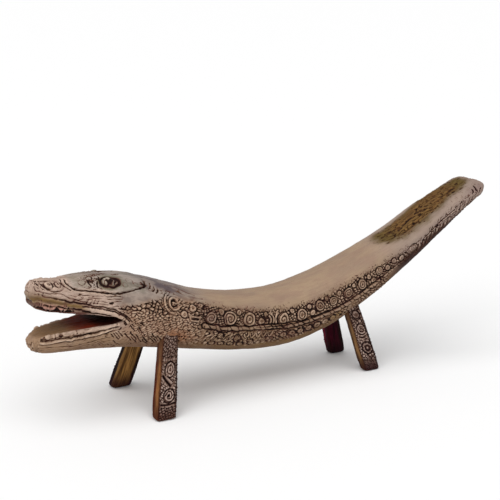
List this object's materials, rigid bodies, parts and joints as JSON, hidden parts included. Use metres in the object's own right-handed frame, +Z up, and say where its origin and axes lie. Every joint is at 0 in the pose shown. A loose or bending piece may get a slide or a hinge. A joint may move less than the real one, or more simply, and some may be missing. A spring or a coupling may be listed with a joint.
{
  "type": "carved wooden headrest",
  "caption": "Long wooden headrest carved as an open-mouthed crocodile, with a dipped cradle for the head, a raised tail and splayed legs.",
  "frame": {"origin": "on the floor, under the middle of the bounding box", "axes": "+X along the beam from the snout to the tail, +Y to the crocodile's right side, +Z up"},
  "size_m": [0.64, 0.1328, 0.233],
  "materials": {
    "carved_wood": "hand-rubbed old wood with dark dirt in the carving",
    "leg_wood": "old wood, orange-brown on plain faces and dark on the shaded ones"
  },
  "bodies": {
    "root": {"crocodile_body": "carved_wood", "front_left_leg": "leg_wood", "front_right_leg": "leg_wood", "rear_left_leg": "leg_wood", "rear_right_leg": "leg_wood"}
  },
  "joints": []
}
